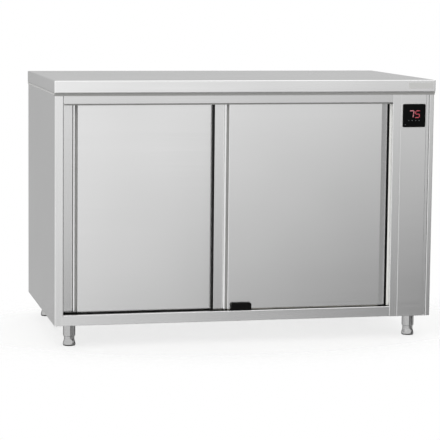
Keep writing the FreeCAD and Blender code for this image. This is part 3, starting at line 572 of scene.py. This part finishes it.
finish_of_node = {
    steel_across: ("base_pan", "control_fascia"),
    header_steel: ("top_rail",),
    steel_upright: ("divider_wall",),
    panel_steel: ("left_side_panel", "right_side_panel", "rear_panel"),
    lining: ("chamber_left_wall", "chamber_rear_wall", "chamber_ceiling", "chamber_floor", "air_grilles",
             "left_door_back", "right_door_back"),
    zinc_sheet: ("worktop_stiffeners", "shelf_uprights", "shelf_clips", "air_duct", "electrics_plate",
                 "leg_plates"),
    zinc_hardware: ("left_door_hangers", "right_door_hangers", "temperature_probe"),
    heater_steel: ("heater_element",),
    track_metal: ("door_track",),
    black_nylon: ("controller_case", "fan_frame", "fan_rotor", "safety_thermostat"),
    terminal_nylon: ("terminal_block",),
    wool: ("left_insulation", "rear_insulation", "ceiling_insulation", "floor_insulation",
           "left_door_core", "right_door_core"),
    laminate: ("controller_board",),
}
for material, nodes in finish_of_node.items():
    for node in nodes:
        mesh = frame["nodes"][node].data
        mesh.materials.clear()
        mesh.materials.append(material)


# Pieces

def folded_tray(lo, hi, thickness, radius, corner, lip):
    """A tray open underneath: bent edges, rounded upright corners and a lip turned in at the bottom"""
    inner = radius - thickness
    height = hi[2] - lo[2]
    outer = [(radius - u, height - radius + v) for u, v in arc((0, 0), radius, 90, 0)]
    outer += [(radius - u, radius + v) for u, v in arc((0, 0), radius, 0, -90)] + [(lip, 0)]
    hidden = [(lip, thickness)]
    hidden += [(radius - u, radius + v) for u, v in arc((0, 0), inner, -90, 0)]
    hidden += [(radius - u, height - radius + v) for u, v in arc((0, 0), inner, 0, 90)]
    rows = []
    for inset, z in outer + hidden:
        radii = [max(corner - inset, edge_round)] * 4
        line = rounded(rectangle(lo[0] + inset, hi[0] - inset, lo[1] + inset, hi[1] - inset), radii)
        rows.append(lifted("plan", line, lo[2] + z))
    return surface(rows)


def worktop():
    """Folded worktop with a bare metal plate at the right end of its front edge"""
    lo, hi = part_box("worktop")
    front = lo.y + edge_plate_depth
    tray = folded_tray((lo.x, front, lo.z), hi, worktop_sheet, worktop_bend, worktop_corner, worktop_lip)
    piece("worktop_sheet", tray, "worktop", worktop_steel)
    plate = prism("front", rectangle(*edge_plate_x, *edge_plate_z), lo.y, front, [edge_plate_corner] * 4)
    piece("blank_edge_plate", plate, "worktop", plate_metal, replaces=False, bevel=edge_plate_edge)


def door_line(left, right, front, back, grip_fall):
    """The folds of a door seen from above, from its left return to its right return"""
    lip = left + grip_width
    groove = lip + lip_width
    panel, margin = groove + groove_width, right - margin_width
    return [(left, back), (left, front + grip_recess), (lip, front + grip_recess + grip_fall),
            (lip, front + lip_recess), (groove, front + lip_recess - lip_slope),
            (groove, front + groove_depth), (panel, front + groove_depth), (panel, front),
            (margin, front), (right, front + margin_recess), (right, back)]


def door_skin(side):
    """A door's folded sheet, its upper and lower edge rounded and turned in"""
    node = f"{side}_door_skin"
    lo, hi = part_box(node)
    line = door_line(lo.x, hi.x, lo.y, hi.y, grip_falls[side])
    low = lo.z + door_lift[side]
    rows = []
    turn = arc((bend, bend), bend, -90, 0)
    bottom = [(door_turn_in, 0)] + [(2 * bend - u, v) for u, v in turn]
    top = [(inset, hi.z - low - rise) for inset, rise in reversed(bottom)]
    for inset, rise in bottom + top:
        radii = [max(bend - door_sheet + inset if i in inner_folds else bend - inset, edge_round / 2)
                 for i in range(len(line))]
        radii[0] = radii[-1] = 0
        rows.append(lifted("plan", rounded(moved(line, inset), radii), low + rise))
    piece(f"{side}_door_pan", surface(rows, ring=False), node, steel_across, thickness=door_sheet)


def leg_tube(low, high, centre):
    """A leg tube with a rounded lower edge, drawn as a closed body"""
    inner = tube_radius - tube_wall
    profile = [(neck_radius - tube_edge, low), (inner, low + tube_edge)]
    profile += arc((tube_radius - tube_edge, low + tube_edge), tube_edge, -90, 0) + [(tube_radius, high)]
    return surface(turned(profile, centre))


def foot_profile(top, spindle_top):
    """A foot from its pad over the rim and up the flared neck to the spindle's end"""
    shares = [k / foot_steps for k in range(foot_steps + 1)]
    profile = []
    for share in reversed(shares):
        angle = math.pi / 2 * share
        profile.append((pad_radius + (rim_radius - pad_radius) * math.cos(angle),
                        rim_top - (rim_top - rim_bottom) * math.sin(angle)))
    for share in shares:
        ease = (1 - math.cos(math.pi * share)) / 2
        profile.append((neck_radius + (rim_radius - neck_radius) * (1 - ease),
                        rim_top + (neck_bottom - rim_top) * share))
    return profile + [(neck_radius, top - neck_chamfer), (neck_radius - neck_chamfer, top),
                      (spindle_radius, top), (spindle_radius, spindle_top)]


def foot_glide(centre):
    """The round plastic plate under a foot"""
    outline = [(0, 0), (glide_radius, 0), (glide_radius, rim_bottom), (0, rim_bottom)]
    glide = surface(turned(outline, centre), caps=False)
    bmesh.ops.remove_doubles(glide, verts=glide.verts, dist=merge_distance)
    return glide


def legs():
    lo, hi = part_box("leg_tubes")
    for name in ("front_left", "front_right", "rear_left", "rear_right"):
        foot = f"{name}_foot"
        foot_lo, foot_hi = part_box(foot)
        centre = ((foot_lo.x + foot_hi.x) / 2, (foot_lo.y + foot_hi.y) / 2)
        turned_foot = surface(turned(foot_profile(lo.z - neck_gap, foot_hi.z), centre))
        piece(f"{name}_leg_tube", leg_tube(lo.z, hi.z, centre), "leg_tubes", polished)
        piece(f"{name}_foot_glide", foot_glide(centre), foot, black_nylon, replaces=False, bevel=glide_edge)
        piece(f"{name}_foot_turned", turned_foot, foot, polished)


def guide_block():
    """Moulded guide: rounded cheeks before, between and behind the doors on a common base"""
    lo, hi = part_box("door_guide")
    left_lo, left_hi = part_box("left_door_back")
    right_lo, right_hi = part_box("right_door_skin")
    left_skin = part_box("left_door_skin")[0].y
    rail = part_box("base_pan")[0].z + guide_on_rail
    base_top, fin_top = left_lo.z - guide_base_drop, left_lo.z + guide_fin_rise
    cheek_back = right_lo.y - guide_gap
    fin_front, fin_back = right_hi.y + door_sheet + guide_gap, left_skin - guide_gap
    cheeks = {
        "front_cheek": (lo.y, cheek_back, rail, hi.z, cheek_corner),
        "middle_fin": (fin_front, fin_back, base_top, fin_top, fin_corner),
        "rear_cheek": (left_hi.y + guide_gap, hi.y, base_top, fin_top, fin_corner),
        "base": (lo.y + guide_setback, hi.y, lo.z, base_top, base_corner),
        "front_web": (lo.y + guide_setback, cheek_back, lo.z, rail + guide_web_rise, base_corner),
    }
    for name, (y0, y1, z0, z1, corner) in cheeks.items():
        corners = [guide_low_corner, guide_low_corner, corner, corner]
        shape = prism("front", rectangle(lo.x, hi.x, z0, z1), y0, y1, corners)
        piece(f"door_guide_{name}", shape, "door_guide", black_nylon, bevel=guide_edge)


def display_ring(lo, hi, steps):
    """A ring round the display; steps hold the inset from the box and the place in depth"""
    rows = []
    for inset, y in steps:
        outline = rectangle(lo.x + inset, hi.x - inset, lo.z + inset, hi.z - inset)
        radii = [max(display_corner - inset, frame_inner_corner)] * 4
        rows.append(lifted("front", rounded(outline, radii), y))
    return surface(rows, loop=True)


def figure_bar(segment, left, front):
    """One bar of a seven-bar figure, pointed at both ends and slanted"""
    start, end = (V((u * digit_width, v * digit_height / 2)) for u, v in segment_ends[segment])
    along = (end - start).normalized()
    sideways = V((-along.y, along.x)) * (segment_width / 2)
    gap, point = along * (segment_width * segment_gap), along * (segment_width / 2)
    a, b = start + gap, end - gap
    line = [a, a + point - sideways, b - point - sideways, b, b - point + sideways, a + point + sideways]
    line = [(left + p.x + p.y * digit_slant, digit_bottom + p.y) for p in line]
    return prism("front", line, front - print_depth, front)


def display():
    lo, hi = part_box("controller_bezel")
    frame_steps = ((0, hi.y), (0, lo.y + frame_rim), (frame_rim * rim_middle, lo.y + frame_rim * rim_middle),
                   (frame_rim, lo.y), (frame_face, lo.y), (frame_inner, lo.y + frame_inner_edge),
                   (frame_inner, hi.y))
    piece("display_frame", display_ring(lo, hi, frame_steps), "controller_bezel", bezel_plastic)
    # A pale metal ring round the frame: painted highlight on the frame's outer edge
    trim_front = lo.y + frame_rim * 2 - trim_depth
    trim_steps = ((-trim_width, hi.y), (-trim_width, trim_front), (0, trim_front), (0, hi.y))
    piece("display_highlight_trim", display_ring(lo, hi, trim_steps), "controller_bezel", plate_metal, replaces=False)
    lo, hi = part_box("display_glass")
    cover = prism("front", rectangle(lo.x, hi.x, lo.z, hi.z), lo.y, hi.y, [cover_corner] * 4)
    piece("display_cover_glass", cover, "display_glass", glass, bevel=cover_edge)
    front = lo.y
    for i, lit in enumerate(lit_segments):
        left = digit_left + i * (digit_width + digit_gap)
        for segment in lit:
            bar = figure_bar(segment, left, front)
            piece(f"figure_{i + 1}_{segment}", bar, "display_glass", figures[i], replaces=False)
    for i, (x, z) in enumerate(mark_places):
        w, h = mark_size[0] / 2, mark_size[1] / 2
        outline = rectangle(x - w, x + w, z - h, z + h)
        mark = prism("front", outline, front - print_depth, front, [h * mark_corner] * 4)
        piece(f"key_mark_{i + 1}", mark, "display_glass", legend, replaces=False)


def corner_weld():
    """Ground weld that closes the groove between the left stile and the bottom rail"""
    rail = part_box("base_pan")[0]
    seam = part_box("chamber_floor")[0].x
    lo = (seam - weld_width, rail.y - weld_crown, rail.z + bend)
    hi = (seam + weld_width / 4, rail.y + sheet / 2, lo[2] + weld_height)
    piece("corner_weld", block(lo, hi), "base_pan", steel_across, replaces=False)


def sill_strip():
    """Black strip on the sill under the doors, put where shade falls: painted shade"""
    lo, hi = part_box("chamber_floor")
    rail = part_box("base_pan")[0]
    strip = block((lo.x + sill_end_gap, rail.y + sill_front, rail.z + sill_low),
                  (hi.x - sill_end_gap, sill_back, rail.z + sill_high))
    piece("sill_strip", strip, "chamber_floor", rubber, replaces=False, bevel=sill_edge)


def stops():
    """Rubber strips that the doors run against; those at the right sit on white strips, a painted highlight
    beside the stile
    """
    lo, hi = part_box("door_stops")
    carrier_left = hi.x - stop_carrier_width
    strips = (("left", lo.x, lo.x + left_stop_width), ("right", hi.x - stop_reach, carrier_left))
    for row, door in (("front", "right"), ("rear", "left")):
        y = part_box(f"{door}_door_skin")[0].y + stop_behind
        y0, y1 = y - stop_half_depth, y + stop_half_depth
        for side, x0, x1 in strips:
            strip = prism("plan", rectangle(x0, x1, y0, y1), lo.z, hi.z, [stop_corner] * 4)
            piece(f"{row}_{side}_stop", strip, "door_stops", rubber)
        corners = [carrier_corner, edge_round, edge_round, edge_round]
        carrier = prism("plan", rectangle(carrier_left, hi.x, y0, y1), lo.z, hi.z, corners)
        piece(f"{row}_stop_highlight_strip", carrier, "door_stops", white_nylon, replaces=False)


def door_seals():
    """Dark strips put where shade falls, as painted shade: a black rubber lip in the gap between the doors, a
    grey strip in each groove, a black strip under each door
    """
    lo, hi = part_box("right_door_skin")
    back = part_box("left_door_skin")[0].y - seal_gap
    outline = rectangle(lo.x - seal_depth, lo.x, lo.y + seal_set_back, back)
    lip = prism("plan", outline, lo.z + bend, hi.z - bend, [seal_corner] * 4)
    piece("meeting_shade_lip", lip, "right_door_skin", rubber, replaces=False)
    for side in ("left", "right"):
        lo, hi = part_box(f"{side}_door_skin")
        middle = lo.x + grip_width + lip_width + groove_width / 2
        outline = rectangle(middle - groove_seal_width / 2, middle + groove_seal_width / 2,
                            lo.y + groove_seal_depth, lo.y + groove_depth)
        strip = prism("plan", outline, lo.z + bend, hi.z - bend, [seal_corner] * 4)
        piece(f"{side}_groove_shade_lip", strip, f"{side}_door_skin", grey_sealant, replaces=False)
    for side in ("left", "right"):
        lo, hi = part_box(f"{side}_door_back")
        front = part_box(f"{side}_door_skin")[0].y + brush_depth
        brush = block((lo.x + brush_end_gap, front, lo.z - brush_height),
                      (hi.x - brush_end_gap, front + brush_width, lo.z))
        piece(f"{side}_door_shade_strip", brush, f"{side}_door_back", rubber, replaces=False, bevel=brush_edge)


def worktop_sealant():
    """Grey fillet in the corner between the worktop's underside and the body: painted shade under the
    worktop's edge
    """
    lo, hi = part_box("left_side_panel")[0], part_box("right_side_panel")[1]
    front = [(lo.y, hi.z - fillet[0][1])] + [(lo.y - depth, hi.z - drop) for depth, drop in fillet]
    front += [(lo.y - fillet[-1][0], hi.z), (lo.y, hi.z)]
    parts = [prism("side", front, lo.x - side_bead, hi.x + side_bead)]
    for x0, x1 in ((lo.x - side_bead, lo.x), (hi.x, hi.x + side_bead)):
        parts.append(block((x0, lo.y, hi.z - fillet[1][1]), (x1, hi.y, hi.z)))
    piece("worktop_sealant", joined(*parts), "worktop", grey_sealant, replaces=False)


def rail_brush():
    """Grey strip behind the lower edge of the top rail, over the doors: painted shade above the doors"""
    lo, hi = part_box("top_rail")[0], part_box("divider_wall")[0]
    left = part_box("left_door_skin")[0].x
    front = lo.y + sheet
    strip = block((left, front, lo.z - pile_height),
                  (hi.x - pile_end_gap, front + pile_depth, lo.z + pile_overlap))
    piece("rail_brush", strip, "top_rail", grey_pile, replaces=False)


def rollers():
    """Track rollers, chamfered at the tread and dished on both faces"""
    for side in ("left", "right"):
        for end in ("left", "right"):
            node = f"{side}_door_{end}_roller"
            lo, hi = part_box(node)
            radius = (hi.x - lo.x) / 2
            face = [(roller_bore, 0), *roller_dish, (radius - roller_chamfer, 0), (radius, roller_chamfer)]
            profile = [(u, lo.y + v) for u, v in face] + [(u, hi.y - v) for u, v in reversed(face)]
            wheel = surface(turned(profile, middle_of(lo, hi), "front"), loop=True)
            piece(f"{node}_wheel", wheel, node, white_nylon)


def gland():
    """Cable gland: dome cap and hexagon nut outside the rear panel, lock nut inside"""
    lo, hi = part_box("cable_gland")
    centre = middle_of(lo, hi)
    face = hi.y - gland_reach
    cap = [(gland_bore, hi.y)] + [(u, hi.y - v) for u, v in gland_cap] + [(gland_bore, face)]
    barrel = surface(turned(cap, centre, "front"), loop=True)
    corner_radius = gland_flats / 2 / math.cos(math.radians(30))
    hexagon = on_circle(centre, corner_radius, [math.radians(60 * k) for k in range(6)])
    nut = prism("front", hexagon, face, face + gland_nut)
    lock = prism("front", hexagon, lo.y, lo.y + gland_lock_nut)
    piece("cable_gland_moulded", joined(barrel, nut, lock), "cable_gland", black_nylon, bevel=gland_edge)


def shelf():
    lo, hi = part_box("middle_shelf")
    tray = folded_tray(lo, hi, sheet, shelf_bend, shelf_corner, shelf_lip)
    piece("middle_shelf_sheet", tray, "middle_shelf", lining)


worktop()
for side in ("left", "right"):
    door_skin(side)
legs()
guide_block()
display()
corner_weld()
sill_strip()
stops()
door_seals()
worktop_sealant()
rail_brush()
rollers()
gland()
shelf()


# Floor and light

floor_half = 3.0
# The floor's drawn oval, how far out it fades, and how clear it is at its middle
floor_shape = (0.6, 1.0, 1.0)
floor_fade = (0.48, 0.78)
floor_clear = 0.70

# Parts of the room by direction: axis, cosines between which each begins and is full, tone
curtain_reach = (0.945, 0.975)
room_parts = {
    "low_right": ((0.55, -0.55, -0.63), (0.675, 0.820), "969696"),
    "low_screen": ((0.352, -0.871, -0.342), (0.971, 0.992), "1C1C1C"),
    "front_curtain": ((0.94, -0.342, 0.0), curtain_reach, "2C2C2C"),
    "rear_curtain": ((0.94, 0.342, 0.0), curtain_reach, "2C2C2C"),
}


def eased(tree, source, reach, low=0.0):
    """low before the reach, 1 past it, with a soft rise between"""
    settings = {"interpolation_type": "SMOOTHSTEP", "From Min": reach[0], "From Max": reach[1], "To Min": low}
    return add(tree, "ShaderNodeMapRange", settings, {"Value": source}).outputs["Result"]


def pale_floor():
    # Matt painted board, evenly pale, with tones 400 mm wide that hardly differ; it lets the backdrop
    # through and fades into it beyond the object
    material, tree, shader = finish("pale_floor_paint", "F4F4F3", 0.7)
    tone = pattern(tree, 0.4, 2.0)
    tree.links.new(tones(tree, tone, "F3F3F2", "F6F6F5"), shader.inputs["Base Color"])
    place = add(tree, "ShaderNodeTexCoord")
    drawn = add(tree, "ShaderNodeVectorMath", {"operation": "MULTIPLY", 1: floor_shape},
                {0: place.outputs["Object"]})
    reach = add(tree, "ShaderNodeVectorMath", {"operation": "LENGTH"}, {0: drawn.outputs["Vector"]})
    fade = eased(tree, reach.outputs["Value"], floor_fade, floor_clear)
    clear = add(tree, "ShaderNodeBsdfTransparent")
    both = add(tree, "ShaderNodeMixShader",
               links={0: fade, 1: shader.outputs["BSDF"], 2: clear.outputs["BSDF"]})
    tree.links.new(both.outputs["Shader"], tree.nodes["Material Output"].inputs["Surface"])
    mesh = bpy.data.meshes.new("floor")
    bm = surface([[V((x, y, 0)) for x in (-floor_half, floor_half)] for y in (-floor_half, floor_half)],
                 ring=False)
    bm.to_mesh(mesh)
    bm.free()
    mesh.materials.append(material)
    floor = bpy.data.objects.new("floor", mesh)
    bpy.context.scene.collection.objects.link(floor)


def studio_world():
    # A white room, greyer towards the front right floor, where a dark screen stands low, with a grey curtain
    # at each right corner
    world = bpy.data.worlds.new("studio")
    bpy.context.scene.world = world
    world.use_nodes = True
    tree = world.node_tree
    direction = add(tree, "ShaderNodeTexCoord").outputs["Generated"]
    colour = linear("FFFFFF")
    for axis, reach, tone in room_parts.values():
        near = add(tree, "ShaderNodeVectorMath", {"operation": "DOT_PRODUCT", 1: V(axis).normalized()},
                   {0: direction})
        colour = mixed(tree, eased(tree, near.outputs["Value"], reach), colour, linear(tone))
    tree.links.new(colour, tree.nodes["Background"].inputs["Color"])


def soft_lamp(name, place, target, size, power):
    data = bpy.data.lights.new(name, "AREA")
    data.shape, data.size, data.size_y, data.energy = "RECTANGLE", size[0], size[1], power
    lamp = bpy.data.objects.new(name, data)
    lamp.location = place
    lamp.rotation_euler = (V(target) - V(place)).to_track_quat("-Z", "Y").to_euler()
    bpy.context.scene.collection.objects.link(lamp)


pale_floor()
studio_world()
soft_lamp("soft_key", place=(-2.6, -2.8, 3.0), target=(-0.1, 0, 0.3), size=(2.6, 2.2), power=30)
soft_lamp("soft_top", place=(0.4, 0.6, 3.4), target=(0, 0, 0.4), size=(3.0, 2.4), power=20)

bpy.context.scene.view_settings.view_transform = "Standard"
